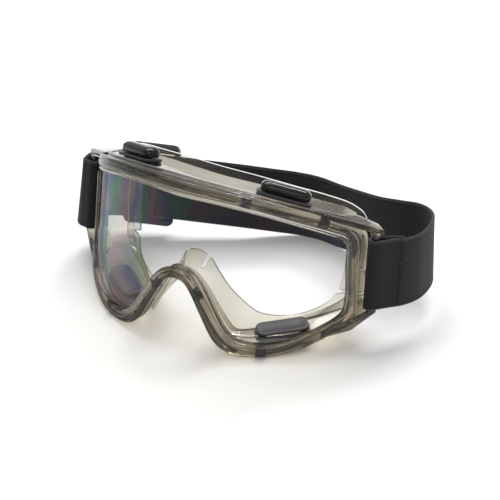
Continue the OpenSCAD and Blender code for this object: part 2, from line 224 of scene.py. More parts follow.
def ring(name, rows, place=standing, sharp=40):
    """Closed ring through loops of equal length, in the order of the section's outline."""
    rows = np.asarray(rows)
    m, n = rows.shape[:2]
    return new_piece(name, place(rows.reshape(-1, 3)), loft_faces(m, n), sharp)


def sheet_rows(rows, thickness):
    """Section of a sheet of even thickness on the inner side of its outer rows, edges rounded."""
    rows = np.asarray(rows)
    along = np.roll(rows, -1, 1) - np.roll(rows, 1, 1)
    across = np.gradient(rows, axis=0)
    inner = rows - thickness * unit(np.cross(along, across))
    return corners_cut(np.concatenate([rows, inner[::-1]]), 2)


def apply_modifiers(piece, sharp=40):
    """Replaces the piece's mesh by the result of its modifiers."""
    graph = bpy.context.evaluated_depsgraph_get()
    mesh = bpy.data.meshes.new_from_object(piece.evaluated_get(graph))
    piece.modifiers.clear()
    piece.data = mesh
    tidy_mesh(mesh, sharp)


def cut_away(piece, cutters, sharp=40):
    """Takes the cutters out of the piece and deletes them."""
    for cutter in cutters:
        change = piece.modifiers.new("cut", "BOOLEAN")
        change.operation = "DIFFERENCE"
        change.solver = "EXACT"
        change.material_mode = "TRANSFER"
        change.object = cutter
    apply_modifiers(piece, sharp)
    for cutter in cutters:
        bpy.data.objects.remove(cutter)


def prism(name, outline, height, place):
    """Solid between z = -height / 2 and height / 2 over a flat outline, put in place by a function."""
    n = len(outline)
    points = [(x, y, z) for z in (-height / 2, height / 2) for x, y in outline]
    faces = [(j, (j + 1) % n, n + (j + 1) % n, n + j) for j in range(n)]
    faces += [tuple(range(n))[::-1], tuple(range(n, 2 * n))]
    return new_piece(name, place(np.array(points)), faces)


def placed(at, x_axis, y_axis, z_axis, then=standing):
    """Function that puts points drawn about the origin at a place, on the given axes."""
    axes = np.array([x_axis, y_axis, z_axis], float)
    return lambda points: then(np.asarray(points, float) @ axes + np.asarray(at, float))


def arc(cx, cy, r, start, end, count=8):
    """Points on an arc, angles in degrees."""
    return [(cx + r * math.cos(math.radians(a)), cy + r * math.sin(math.radians(a)))
            for a in np.linspace(start, end, count)]


def stadium(length, width, corner=99, count=7):
    """Outline with round corners or, at the largest corner, round ends; its length along x."""
    r = max(min(corner, width / 2), 0.01)
    x = length / 2 - r
    y = width / 2 - r
    return np.array(arc(x, -y, r, -90, 0, count) + arc(x, y, r, 0, 90, count)
                    + arc(-x, y, r, 90, 180, count) + arc(-x, -y, r, 180, 270, count))


def stadium_solid(name, length, width, corner, profile, place, closed=True, sharp=40):
    """Solid of rounded outlines: the profile's points are how far in from the edge, and z."""
    rows = []
    for inset, z in profile:
        outline = stadium(length - 2 * inset, max(width - 2 * inset, 0.02), max(corner - inset, 0.6))
        rows.append(np.column_stack([outline, np.full(len(outline), z)]))
    rows = np.array(rows)
    m, n = rows.shape[:2]
    return new_piece(name, place(rows.reshape(-1, 3)), loft_faces(m, n, closed), sharp, 3e-5)


# ---- Materials ----
class Paint:
    """A material's node tree, with short calls to add nodes to it."""

    def __init__(self, name):
        """Starts an empty tree with its output."""
        self.material = bpy.data.materials.new(name)
        self.material.use_nodes = True
        self.tree = self.material.node_tree
        self.tree.nodes.clear()
        self.output = self.add("OutputMaterial")

    def add(self, kind, settings=None, **inputs):
        """New node, its settings made and its inputs set or linked; _ in a name is a space."""
        made = self.tree.nodes.new("ShaderNode" + kind)
        for key, value in (settings or {}).items():
            setattr(made, key, value)
        for key, value in inputs.items():
            self.set(made, key.replace("_", " "), value)
        return made

    def set(self, made, key, value):
        """Sets or links an input, by its name or by # and its number."""
        socket = made.inputs[int(key[1:])] if key[0] == "#" else made.inputs[key]
        if isinstance(value, bpy.types.NodeSocket):
            self.tree.links.new(value, socket)
        else:
            socket.default_value = value

    def math(self, operation, a, b=0.0):
        """Result of a Math node."""
        made = self.add("Math", {"operation": operation})
        self.set(made, "#0", a)
        self.set(made, "#1", b)
        return made.outputs[0]

    def ramp(self, factor, stops):
        """Colour ramp with (position, grey or colour) stops."""
        made = self.add("ValToRGB", Fac=factor)
        ramp = made.color_ramp
        while len(ramp.elements) < len(stops):
            ramp.elements.new(0.5)
        for element, (at, colour) in zip(ramp.elements, stops):
            element.position = at
            element.color = tuple(colour) + (1,) if np.ndim(colour) else (colour, colour, colour, 1)
        return made.outputs[0]

    def place(self):
        """Position on the object, in its own coordinates."""
        return self.add("TexCoord").outputs["Object"]

    def noise(self, scale, detail=3.0, vector=None):
        """Noise over the object, or over the given coordinates."""
        made = self.add("TexNoise", Vector=vector or self.place(), Scale=scale, Detail=detail)
        return made.outputs[0]

    def bump(self, height, strength, distance):
        """Normal from a height."""
        return self.add("Bump", Height=height, Strength=strength, Distance=distance).outputs[0]

    def blend(self, factor, first, second):
        """Mix of two shaders."""
        made = self.add("MixShader")
        self.set(made, "#0", factor)
        self.set(made, "#1", first)
        self.set(made, "#2", second)
        return made.outputs[0]

    def finish(self, surface):
        """Links the surface to the output and gives the material."""
        self.set(self.output, "Surface", surface)
        return self.material


def principled(paint, **inputs):
    """Shader output of a Principled node with the given inputs."""
    return paint.add("BsdfPrincipled", **inputs).outputs[0]


def smoke_vinyl():
    """Translucent smoke vinyl: glossy, with a faint flow pattern, darker where it is thick."""
    paint = Paint("smoke_vinyl")
    flow = paint.noise(40, 3)
    rough = paint.ramp(flow, [(0.35, 0.01), (0.7, 0.03)])
    tint = paint.ramp(flow, [(0.3, (0.83, 0.81, 0.76)), (0.7, (0.88, 0.86, 0.81))])
    normal = paint.bump(flow, 0.03, 0.0005)
    glass = principled(paint, Base_Color=tint, Roughness=rough, Transmission_Weight=1.0, IOR=1.5,
                       Normal=normal)
    shade = paint.add("BsdfTransparent", Color=(0.80, 0.77, 0.70, 1)).outputs[0]
    light = paint.add("LightPath").outputs["Is Shadow Ray"]
    absorb = paint.add("VolumeAbsorption", Color=(0.52, 0.47, 0.36, 1), Density=260).outputs[0]
    paint.set(paint.output, "Volume", absorb)
    return paint.finish(paint.blend(light, glass, shade))


def clear_film(name, tint, edge_dark):
    """Thin clear vinyl: a warm grey tint that deepens where the sheet turns away."""
    paint = Paint(name)
    flow = paint.noise(45, 3)
    facing = paint.add("LayerWeight", Blend=0.35).outputs["Facing"]
    amount = paint.math("ADD", paint.math("MULTIPLY", facing, edge_dark), 0.02)
    clear = paint.add("BsdfTransparent", Color=tint + (1,)).outputs[0]
    gloss = principled(paint, Base_Color=paint.ramp(flow, [(0.3, (0.42, 0.41, 0.37)),
                                                         (0.7, (0.50, 0.49, 0.45))]),
                       Roughness=paint.ramp(flow, [(0.3, 0.12), (0.7, 0.22)]), IOR=1.5,
                       Normal=paint.bump(flow, 0.2, 0.0005))
    return paint.finish(paint.blend(amount, clear, gloss))


def edge_glow(name):
    """Cut edge of the clear vinyl, painted near white as the light piped out of the sheet and the highlight
    along it.
    """
    paint = Paint(name)
    grain = paint.noise(900, 2)
    colour = paint.ramp(grain, [(0.3, (0.86, 0.86, 0.84)), (0.7, (0.95, 0.95, 0.93))])
    return paint.finish(principled(paint, Base_Color=colour, Roughness=0.35,
                                   Normal=paint.bump(grain, 0.2, 0.0001)))


def lens_coat():
    """Clear polycarbonate with a coat whose thickness drifts, so its sheen shifts colour."""
    paint = Paint("coated_polycarbonate")
    spot = paint.add("SeparateXYZ", Vector=paint.place())
    drift = paint.math("MULTIPLY", paint.noise(26, 2), 2.2)
    across = paint.math("MULTIPLY", spot.outputs[0], 38.0)
    phase = paint.math("FRACT", paint.math("ADD", paint.math("ADD", across, drift), 9.0))
    colours = paint.ramp(phase, [(0.0, (0.28, 0.34, 0.66)), (0.25, (0.28, 0.62, 0.36)),
                                 (0.5, (0.58, 0.32, 0.60)), (0.75, (0.55, 0.50, 0.42)),
                                 (1.0, (0.28, 0.34, 0.66))])
    facing = paint.add("LayerWeight", Blend=0.5).outputs["Facing"]
    mirror = paint.math("ADD", paint.math("MULTIPLY", paint.math("POWER", facing, 2.0), 0.36), 0.008)
    clear = paint.add("BsdfTransparent", Color=(1, 1, 1, 1)).outputs[0]
    sheen = paint.add("BsdfGlossy", Color=colours, Roughness=0.02).outputs[0]
    glare = paint.add("BsdfGlossy", Color=(0.9, 0.92, 0.95, 1), Roughness=0.02).outputs[0]
    coat = paint.blend(paint.math("POWER", facing, 6.0), sheen, glare)
    return paint.finish(paint.blend(mirror, clear, coat))


def gloss_black(name, lift, rough_from):
    """Moulded black plastic: fine texture and a few faint scuffs; lift makes it slate grey."""
    paint = Paint(name)
    grain = paint.noise(1600, 2)
    scuff = paint.noise(140, 6)
    rough = paint.ramp(scuff, [(0.4, rough_from), (0.62, rough_from + 0.1)])
    dark = (0.006 + lift, 0.006 + lift * 1.05, 0.007 + lift * 1.2)
    light = (0.014 + lift * 1.3, 0.014 + lift * 1.35, 0.015 + lift * 1.5)
    colour = paint.ramp(scuff, [(0.3, dark), (0.75, light)])
    return paint.finish(principled(paint, Base_Color=colour, Roughness=rough, IOR=1.48,
                                   Specular_IOR_Level=0.4, Normal=paint.bump(grain, 0.15, 0.00008)))


def webbing():
    """Black woven elastic: ribs along its length, slanted picks across them, paler selvedges, and painted
    shade along the sewn seam.
    """
    paint = Paint("black_webbing")
    place = paint.add("UVMap", {"uv_map": "weave"}).outputs[0]
    spot = paint.add("SeparateXYZ", Vector=place)
    along = spot.outputs[0]
    across = spot.outputs[1]
    turn = 2 * math.pi
    rib = paint.math("SINE", paint.math("MULTIPLY", across, turn / 1.15))
    slant = paint.math("ADD", paint.math("MULTIPLY", along, turn / 0.95), paint.math("MULTIPLY", rib, 1.3))
    pick = paint.math("SINE", slant)
    fuzz = paint.noise(2.5, 4, place)
    weave = paint.math("ADD", paint.math("MULTIPLY", rib, 0.55), paint.math("MULTIPLY", pick, 0.45))
    weave = paint.math("ADD", weave, paint.math("MULTIPLY", fuzz, 0.8))
    middle = paint.math("ABSOLUTE", paint.math("SUBTRACT", across, BAND_W / 2))
    edge = paint.math("GREATER_THAN", middle, BAND_W / 2 - 0.9)
    # Painted shade: a dark stripe along the sewn seam, where the pinched plies crease
    seam = paint.math("LESS_THAN", paint.math("ABSOLUTE", paint.math("SUBTRACT", along, SEAM_U)), 0.5)
    level = paint.math("ADD", paint.math("MULTIPLY", weave, 0.25), paint.math("MULTIPLY", edge, 0.35))
    level = paint.math("SUBTRACT", level, paint.math("MULTIPLY", seam, 0.6))
    colour = paint.ramp(paint.math("ADD", level, 0.25), [(0.0, (0.003, 0.003, 0.0035)),
                                                        (0.5, (0.016, 0.0150, 0.0180)),
                                                        (1.0, (0.095, 0.092, 0.105))])
    return paint.finish(principled(paint, Base_Color=colour, Roughness=0.82, IOR=1.45,
                                   Specular_IOR_Level=0.2, Sheen_Weight=0.12, Sheen_Roughness=0.5,
                                   Normal=paint.bump(weave, 0.7, 0.00022)))


def thread():
    """Black sewing thread with a fine twist."""
    paint = Paint("black_thread")
    twist = paint.noise(3000, 2)
    colour = paint.ramp(twist, [(0.3, (0.004, 0.004, 0.005)), (0.7, (0.016, 0.016, 0.018))])
    return paint.finish(principled(paint, Base_Color=colour, Roughness=0.6,
                                   Normal=paint.bump(twist, 0.6, 0.0001)))


def dress(piece, paint, body=None):
    """Gives a piece its material and the body it rides on."""
    piece.data.materials.clear()
    piece.data.materials.append(paint)
    if body:
        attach(piece, body)
    return piece


# ---- Frame pieces ----
GROOVE_U = 0.42
GROOVE_FRONT = 1.2
GROOVE_BACK = GROOVE_FRONT + LENS_WALL + 0.2
# Section of the rim, as places for rim_loop: front lip, bead with two fine grooves, groove round the
# outside, rear ridge, back, and the groove that holds the lens
RIM_SECTION = [(0, 0.75, 0), (0, 0.2, 0), (0.08, -0.2, 0), (0.18, -0.5, 0), (0.25, -0.58, 0),
               (0.3, 0.1, 0), (0.35, -0.6, 0), (0.5, -0.78, 0), (0.66, -0.66, 0), (0.71, 0.1, 0),
               (0.76, -0.5, 0), (0.88, -0.15, 0), (0.97, 0, 0.55), (1, 0, 1.2), (1, 0, 2.3), (1, 0, 3.5),
               (0.95, 0, 4.1), (0.93, 0, 4.5), (0.93, 0, 5.1), (0.95, 0, 5.6), (1, 0, 6.2), (1, 0, 7.2),
               (1, 0, 8.4), (0.96, 0, 8.9), (0.88, 0, 9), (0.5, GROOVE_BACK, 5.4), (0.18, GROOVE_BACK, 5.3),
               (0.16, GROOVE_BACK, 4.8), (0.16, GROOVE_BACK, 0.3), (0.18, GROOVE_BACK, 0),
               (0.4, GROOVE_BACK, 0), (GROOVE_U, GROOVE_BACK - 0.2, 0), (GROOVE_U, GROOVE_FRONT + 0.2, 0),
               (0.4, GROOVE_FRONT, 0), (0.04, GROOVE_FRONT, 0)]
# Points of the coarse half loop where the lens's tabs stand, the play round a tab in its slot, and how
# far out across the rim a tab stands
TAB_PLACES = [5, 11, 32, 44]
TAB_PLAY = 0.15
TAB_U = 0.55


def tab_frames():
    """Place and axes of each lens tab: across the rim, through it, and along it."""
    for j in TAB_PLACES:
        for side in (1, -1):
            edge = RIM_EDGE[j * FINE] - OPENING[j * FINE]
            x, z = mix(OPENING[j * FINE], RIM_EDGE[j * FINE], TAB_U)
            turn = math.asin(x / LENS_R)
            across = unit([edge[0], edge[0] * math.tan(turn), edge[1]])
            through = np.array([-math.sin(turn), math.cos(turn), 0])
            flip = np.array([side, 1, 1])
            at = np.array([x, sag(x), z])
            yield at * flip, across * flip, through * flip, np.cross(across, through) * flip


def tab_block(name, at, across, through, along, grow):
    """Block of a lens tab or, grown by its play, of its slot."""
    reach = 4 + 0.6 * (grow > 0)
    half_w = TAB_W / 2 + grow
    outline = [(-reach / 2, LENS_FRONT - grow), (reach / 2, LENS_FRONT - grow),
               (reach / 2, LENS_FRONT + LENS_WALL + grow), (-reach / 2, LENS_FRONT + LENS_WALL + grow)]
    return prism(name, outline, 2 * half_w, placed(at, across, through, along))


def make_rim(paint, slot_shade_paint):
    """Rim with a slot for each lens tab, its walls painted near black as the shade inside the slots."""
    rows = [rim_loop(u, inward, back) for u, inward, back in corners_cut(RIM_SECTION, 1)]
    rim = ring("goggle_rim", rows, sharp=60)
    cutters = [tab_block("tab_slot", *spot, TAB_PLAY) for spot in tab_frames()]
    rim.data.materials.append(paint)
    # Painted shade: the slot walls take near-black paint that stands for the shade in the slots
    for cutter in cutters:
        cutter.data.materials.append(slot_shade_paint)
    cut_away(rim, cutters, 60)
    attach(rim, "frame")
    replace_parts(rim, "frame_rim")


# The shell's floor arches up to make room for the lower vents' covers
FLOOR_RISE = 5
ARCH_X = 46
ARCH_HALF = 24
SHELL_FRONT = rim_loop(0.84, 0, RIM_DEPTH)
SHELL_BENDS = (0.15, 0.55)


def shell_loop(t):
    """Loop of the shell a part t of the way from the rim to the face line."""
    p = mix(SHELL_FRONT, FACE_LINE, t)
    bump = np.maximum(0, 1 - ((np.abs(p[:, 0]) - ARCH_X) / ARCH_HALF) ** 2) * (p[:, 2] < 30)
    p[:, 2] += FLOOR_RISE * bump
    return p


SHELL_ROWS = [SHELL_FRONT, shell_loop(SHELL_BENDS[0]), shell_loop(SHELL_BENDS[1]), FACE_LINE]


def shell_at(t):
    """Loop of the shell with its two bends, a part t of the way back."""
    stops = (0,) + SHELL_BENDS + (1,)
    k = max(i for i in range(3) if stops[i] <= t)
    return mix(SHELL_ROWS[k], SHELL_ROWS[k + 1], (t - stops[k]) / (stops[k + 1] - stops[k]))


def vent_frame(level, side):
    """Place and axes of a vent: along it, back, and out of the shell."""
    j, s, t = {"top": (6 * FINE, 0.5, 0.465), "bottom": (31 * FINE, 0.4, 0.5)}[level]
    middle = mix(SHELL_ROWS[1], SHELL_ROWS[2], t)
    along = unit(middle[j + FINE] - middle[j - FINE])
    out = unit(np.cross(along, FACE_LINE[j] - SHELL_FRONT[j]))
    back = np.cross(out, along)
    flip = np.array([side, 1, 1])
    at = mix(middle[j], middle[j + FINE], s)
    return at * flip, along * flip, back * flip, out * flip


def make_shell(paint):
    """Top, sides and floor behind the rim, with a hole for each vent's neck."""
    stops = [0, 0.012, 0.05, 0.1, 0.15, 0.2, 0.3, 0.4, 0.5, 0.55, 0.6, 0.7, 0.85, 0.94, 0.988, 1]
    shell = ring("goggle_shell", sheet_rows([shell_at(t) for t in stops], SHELL_WALL), sharp=50)
    cutters = []
    for level in ("top", "bottom"):
        for side in (1, -1):
            cutters.append(prism("vent_hole", stadium(HOLE_L, HOLE_W), 10,
                                 placed(*vent_frame(level, side))))
    cut_away(shell, cutters, 50)
    dress(shell, paint, "frame")
    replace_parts(shell, "frame_shell")


def slit_outline(half, depth, flare_left, flare_right):
    """Slit that opens at y = 0 and runs down to -depth, with a round end and a flared mouth."""
    end = arc(0, -depth + half, half, 180, 360)
    right = arc(half + flare_right, -flare_right, flare_right, 180, 90)
    left = arc(-half - flare_left, -flare_left, flare_left, 90, 0)
    return end + right + [(half + flare_right, 5), (-half - flare_left, 5)] + left


def make_skirt(film, film_edge, lip_edge):
    """Lip and inner film, with slits beside the nose tongue and at the temples."""
    spread = [0, 0.1, 0.5, 0.9, 1]
    rows = [mix(LIP_EDGE, FACE_LINE, t) for t in spread]
    rows += [mix(FACE_LINE, SKIRT_EDGE, t) for t in (0.06, 0.2, 0.35, 0.5, 0.65, 0.8, 0.93, 0.985, 1)]
    skirt = ring("face_skirt_film", sheet_rows(rows, SKIRT_WALL), sharp=50)
    cutters = []
    film_up = unit([0, 23.6 - 13, 45.4 - 38])
    film_out = np.cross([1, 0, 0], film_up)
    for side in (1, -1):
        at = np.array([6 * side, 24.2, 44.6])
        flares = (1.6, 0.7) if side > 0 else (0.7, 1.6)
        cutters.append(prism("tongue_slit", slit_outline(0.9, 9, *flares), 8,
                             placed(at, [1, 0, 0], film_up, film_out)))
        for z in (24.5, 36.5):
            at = np.array([60.0 * side, 67.2, z])
            inward = unit([-6.6 * side, -4, 0])
            cutters.append(prism("temple_slit", slit_outline(0.75, 3.8, 0.6, 0.6), 8,
                                 placed(at, [0, 0, 1], inward, np.cross([0, 0, 1], inward))))
    cut_away(skirt, cutters, 50)
    dress(skirt, film, "frame")
    # Painted shade: the cut border gets a dark grey tint standing for the shade seen on a clear edge end-on
    skirt.data.materials.append(film_edge)
    # Painted light: the lip's edge gets near-white paint standing for light glowing out of the sheet
    skirt.data.materials.append(lip_edge)
    mark_edges(skirt)
    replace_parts(skirt, "face_skirt")


def mark_edges(piece):
    """Gives a thin sheet's border the second material, painted dark as the shade on its cut edge, or the
    third along the lip, painted near white as light glowing out of it.
    """
    lip = standing(LIP_EDGE)
    bm = bmesh.new()
    bm.from_mesh(piece.data)
    bm.normal_update()
    tree = BVHTree.FromBMesh(bm)
    for face in bm.faces:
        start = face.calc_center_median() - face.normal * 0.0001
        hit = tree.ray_cast(start, -face.normal, 0.01)
        thin = hit[0] is not None and (hit[0] - start).length < 1.7 * SKIRT_WALL * MM
        to_lip = np.min(np.linalg.norm(lip - np.array(start), axis=1))
        face.material_index = 0 if thin else (2 if to_lip < 2.5 * MM else 1)
    bm.to_mesh(piece.data)
    bm.free()


BAR_X = 84
BAR_Y = 55.5
BAR_LOW = 24
BAR_HIGH = 67


def ball_hull(points, radius):
    """Points of small balls round the given points, for a hull."""
    turns = [(math.cos(a) * math.cos(b), math.sin(a) * math.cos(b), math.sin(b))
             for a in np.linspace(0, 2 * math.pi, 12, endpoint=False) for b in np.linspace(-1.5, 1.5, 7)]
    return [tuple(np.array(p) + radius * np.array(t)) for p in points for t in turns]


def hull_piece(name, points):
    """Convex solid round upright design points."""
    mesh = bpy.data.meshes.new(name)
    bm = bmesh.new()
    for p in standing(points):
        bm.verts.new(p)
    found = bmesh.ops.convex_hull(bm, input=bm.verts)
    bmesh.ops.delete(bm, geom=found["geom_interior"], context="VERTS")
    bm.to_mesh(mesh)
    bm.free()
    piece = bpy.data.objects.new(name, mesh)
    bpy.context.scene.collection.objects.link(piece)
    return piece


def make_lug(side, name, paint):
    """Strap lug: two webs with an upright bar between their tips, run together like one moulding."""
    flip = np.array([side, 1, 1])
    top = [(65, 34.5, 77.6), (BAR_X + 2.4, BAR_Y + 1.8, BAR_HIGH), (79.5, 64, 66.5), (70, 60, 70)]
    low = [(67.5, 36, 12), (76, 50, 14), (BAR_X + 1.5, BAR_Y + 0.5, BAR_LOW), (78.5, 62.5, 22),
           (73.5, 58, 16)]
    parts = [hull_piece(name, np.array(ball_hull(web, 1.5)) * flip) for web in (top, low)]
    bar = [(BAR_X + BAR_R * math.cos(a), BAR_Y + BAR_R * math.sin(a), z)
           for z in (BAR_LOW, BAR_HIGH) for a in np.linspace(0, 2 * math.pi, 24, endpoint=False)]
    parts.append(hull_piece(name, np.array(bar) * flip))
    lug = parts[0]
    for other in parts[1:]:
        join = lug.modifiers.new("join", "BOOLEAN")
        join.operation = "UNION"
        join.solver = "EXACT"
        join.object = other
    remesh = lug.modifiers.new("even", "REMESH")
    remesh.mode = "VOXEL"
    remesh.voxel_size = 0.45 * MM
    smooth = lug.modifiers.new("soften", "SMOOTH")
    smooth.factor = 0.5
    smooth.iterations = 6
    apply_modifiers(lug, 180)
    for other in parts[1:]:
        bpy.data.objects.remove(other)
    dress(lug, paint, "frame")
    lug.name = name
    return lug


# ---- Lens ----
LENS_U = 0.36


def make_lens(paint):
    """Curved lens between its front and back cylinders, and the tabs that hold it in the rim."""
    edge = mix(OPENING, RIM_EDGE, LENS_U)
    half = LOOP_N // 2
    side_j = 6 * STEPS
    top = edge[:side_j + 1]
    low = edge[half:side_j - 1:-1]
    columns = 60
    rows = 20
    xs = edge[side_j, 0] * 0.998 * np.sin(np.linspace(-math.pi / 2, math.pi / 2, 2 * columns + 1))
    high_z = np.interp(np.abs(xs), top[:, 0], top[:, 1])
    low_z = np.interp(np.abs(xs), low[:, 0], low[:, 1])
    points = []
    for inward in (LENS_FRONT, LENS_FRONT + LENS_WALL):
        s = xs / LENS_R
        for t in np.linspace(0, 1, rows):
            points.append(np.stack([xs - inward * s, sag(xs) + inward * np.sqrt(1 - s ** 2),
                                    mix(low_z, high_z, t)], 1))
    points = np.array(points)
    n = points.shape[1]
    front = loft_faces(rows, n, False, False)
    back = [tuple(i + rows * n for i in face[::-1]) for face in front]
    border = [i for i in range(n)] + [r * n + n - 1 for r in range(1, rows)]
    border += [(rows - 1) * n + i for i in range(n - 2, -1, -1)] + [r * n for r in range(rows - 2, 0, -1)]
    sides = [(a, b, b + rows * n, a + rows * n) for a, b in zip(border, border[1:] + border[:1])]
    lens = new_piece("clear_lens", standing(points.reshape(-1, 3)), front + back + sides, 50)
    dress(lens, paint, "frame")
    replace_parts(lens, "lens")
    for k, spot in enumerate(tab_frames()):
        tab = tab_block(f"lens_tab_{k + 1}", *spot, 0)
        dress(tab, paint, "frame")


# ---- Vents ----
def make_vent(level, side, paint, seat_paint):
    """A vent's seat, with its neck and inner plate, and the cover over it."""
    name = f"{level}_{'left' if side > 0 else 'right'}"
    place = placed(*vent_frame(level, side))
    neck = 3.2
    slot = (VENT_W - AIR_SLOT) / 2
    centre = VENT_W / 2
    flange_top = 0.2 + SEAT_T
    seat_profile = [(centre, -2.9), (slot, -2.9), (slot, flange_top), (0.5, flange_top),
                    (0.15, flange_top - 0.15), (0, flange_top - 0.5), (0, 0.6), (0.15, 0.3), (0.4, 0.2),
                    (neck, 0.2), (neck, -2.2), (1.5, -2.2), (1.1, -2.35), (1.0, -2.6), (1.0, -3.1),
                    (1.1, -3.45), (1.5, -3.6), (2.6, -3.6), (2.9, -3.45), (centre, -3.4)]
    seat = stadium_solid("vent_seat_body_" + name, VENT_L, VENT_W, 5, seat_profile, place, False)
    dress(seat, seat_paint, "frame")
    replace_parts(seat, "vent_seat_" + name)
    base = SEAT_T + 0.9
    top = base + CAP_H[level]
    wall = 1.5
    cap_centre = CAP_W / 2
    drop = 0.4 * CAP_H[level]
    crown = [(cap_centre * (1 - r), top + 0.1 - drop * r ** 3)
             for r in (0.93, 0.85, 0.75, 0.62, 0.48, 0.33, 0.16)]
    inner = top - drop - 0.3
    profile = [(cap_centre, top - 1.0), (wall + 1.2, inner + 0.4), (wall, inner), (wall, base),
               (0.2, base), (0, base + 0.25), (0, top - drop - 0.1), (0.1, top - drop + 0.1)]
    profile += crown + [(cap_centre, top + 0.1)]
    cap = stadium_solid("vent_cap_body_" + name, CAP_L, CAP_W, 3.6, profile, place, False)
    dress(cap, paint, "frame")
    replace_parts(cap, "vent_cap_" + name)


# ---- Headband ----
BAND_A = np.array([-81.5, 90, 11.0])
BAND_B = np.array([-26, 119, 4.0])
RUN_DIR = unit(BAND_B - BAND_A)
RUN_OUT = unit([-RUN_DIR[1], RUN_DIR[0], 0])
TIP = BAND_W * math.sin(LEAN)
# Route of the band's lower edge: x, y and z, then how far its upper edge tips along x and y
LOOP_LEFT = [(93.2, 73.6, 15.6, 0, 3), (88.2, 67.4, 16.6, 0, TIP), (83.4, 62.9, 17.4, 0, TIP),
             (81, 59.5, 17.8, 0, TIP), (81.3, 56.2, 18.2, 0, TIP), (84, 54.9, 18.4, 0, TIP),
             (86.9, 57.4, 18.2, 0, TIP), (90.4, 64.3, 17, 0, TIP), (94.5, 73, 15.3, 0, 3),
             (97, 83, 14, 0, 2)]
BAND_BACK = [(96.8, 92, 13, 0, 1), (95.4, 101, 12.6, 0, 0), (92, 109.5, 12, 0, 0), (86, 116, 11, 0, 0),
             (78, 119.4, 10, 0, 0), (66.7, 120.6, 8, 0, 0), (53.3, 123.3, 5, 0, 0), (38, 128.6, 1.8, 0, 0),
             (24, 133.4, -0.7, 0, 0), (10, 136, -1.25, 0, 0), (-2, 133.8, -0.7, 0, 0),
             (-13, 127.5, 1.2, 0, 0)]
THROUGH = [tuple(mix(BAND_B, BAND_A, t)) + (0, 0) for t in (0, 0.25, 0.5, 0.75, 1)]
LOOP_RIGHT = [(-88.6, 85.4, 12.4, 1, 0), (-93.4, 78.4, 13.8, 2, 1), (-95.4, 70, 15.2, 3, 2),
              (-94, 62, 16.6, 3, 3), (-89.8, 57, 17.8, 1, 4), (-86.3, 55.4, 18.4, 0, TIP),
              (-83.4, 54.8, 18.4, 0, TIP), (-81.1, 56.6, 18.2, 0, TIP), (-81, 59.7, 17.8, 0, TIP)]
PLY_GAP = 2


def beside_run(distance, inside):
    """Band point on the straight run, a distance from its start and some way to the inside."""
    return tuple(BAND_A + RUN_DIR * distance - RUN_OUT * inside) + (0, 0)


RETURN_PLY = [(-82.6, 63.8, 17.2, 0, TIP), (-86.8, 69.7, 16, 1, 3), (-88.2, 76, 14.4, 1, 1),
              (-85.6, 82.4, 12.9, 0, 0)]
PLY_RUN = [beside_run(distance, PLY_GAP) for distance in (1.2, 4.4, 7.6)]
BAND_STEPS = 10
SEAM_PINCH = 0.6
STITCH_L = 2.4
STITCH_GAP = 1.4
STITCH_R = 0.27
STITCH_SIDES = 8
BAND_LINE = smooth_line(LOOP_LEFT + BAND_BACK + THROUGH + LOOP_RIGHT + RETURN_PLY + PLY_RUN, BAND_STEPS)
# Row of the band line where the left loop's two plies are sewn together, and its length along the line
SEAM_ROW = 8 * BAND_STEPS - 4
SEAM_U = float(np.sum(np.linalg.norm(np.diff(BAND_LINE[:SEAM_ROW + 1, :3], axis=0), axis=1)))


def band_section():
    """Outline of the webbing: how far across from its lower edge, and half-thickness side."""
    half = BAND_T / 2
    flat = np.concatenate([[0.9, 1.3, 1.7], np.linspace(2.4, BAND_W - 2.4, 30),
                           [BAND_W - 1.7, BAND_W - 1.3, BAND_W - 0.9]])
    swell = [half + 0.12, half + 0.08, half - 0.08] + [half] * 30 + [half - 0.08, half + 0.08, half + 0.12]
    outer = list(zip(flat, swell))
    top = [(BAND_W - 0.35, half), (BAND_W - 0.05, half * 0.55), (BAND_W, 0)]
    low = [(0, 0), (0.05, half * 0.55), (0.35, half)]
    side = low + outer + top
    back = [(t, -h) for t, h in side[-2:0:-1]]
    return side + back


def make_band(name, line, paint, seam_row=None):
    """Webbing along a line of (x, y, z, tip x, tip y) points, with its own weave coordinates."""
    line = np.asarray(line)
    foot = line[:, :3]
    rise = np.sqrt(BAND_W ** 2 - line[:, 3] ** 2 - line[:, 4] ** 2)
    up = np.column_stack([line[:, 3], line[:, 4], rise]) / BAND_W
    heading = np.gradient(foot, axis=0)
    side = unit(np.column_stack([-heading[:, 1], heading[:, 0], np.zeros(len(line))]))
    section = band_section()
    pinch = np.ones(len(line))
    if seam_row:
        pinch[seam_row] = SEAM_PINCH
    rows = np.array([[foot[i] + up[i] * t + side[i] * s * pinch[i] for t, s in section]
                     for i in range(len(line))])
    m, n = rows.shape[:2]
    faces = loft_faces(m, n, False)
    faces += [tuple(range(n)), tuple((m - 1) * n + j for j in range(n))[::-1]]
    mesh = bpy.data.meshes.new(name)
    mesh.from_pydata([tuple(p) for p in on_table(rows.reshape(-1, 3))], [], faces)
    step = np.linalg.norm(np.diff(foot, axis=0), axis=1)
    length = np.concatenate([[0], np.cumsum(step)])
    weave = mesh.uv_layers.new(name="weave")
    for polygon in mesh.polygons:
        for loop in polygon.loop_indices:
            vertex = mesh.loops[loop].vertex_index
            weave.data[loop].uv = (length[vertex // n], section[vertex % n][0])
    band = bpy.data.objects.new(name, mesh)
    bpy.context.scene.collection.objects.link(band)
    tidy_mesh(mesh, 50)
    dress(band, paint)
    return band


def make_headband(paint):
    """The webbing in one length, and its return ply beside the buckle."""
    joint_at = len(LOOP_LEFT + BAND_BACK + THROUGH + LOOP_RIGHT + RETURN_PLY) * BAND_STEPS
    band = make_band("headband_webbing", BAND_LINE[:joint_at + 1], paint, SEAM_ROW)
    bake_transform(band)
    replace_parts(band, "headband_back", "headband_loop_left", "headband_loop_right")
    ply = make_band("headband_ply", BAND_LINE[joint_at:], paint)
    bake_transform(ply)
    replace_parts(ply, "headband_return_ply")


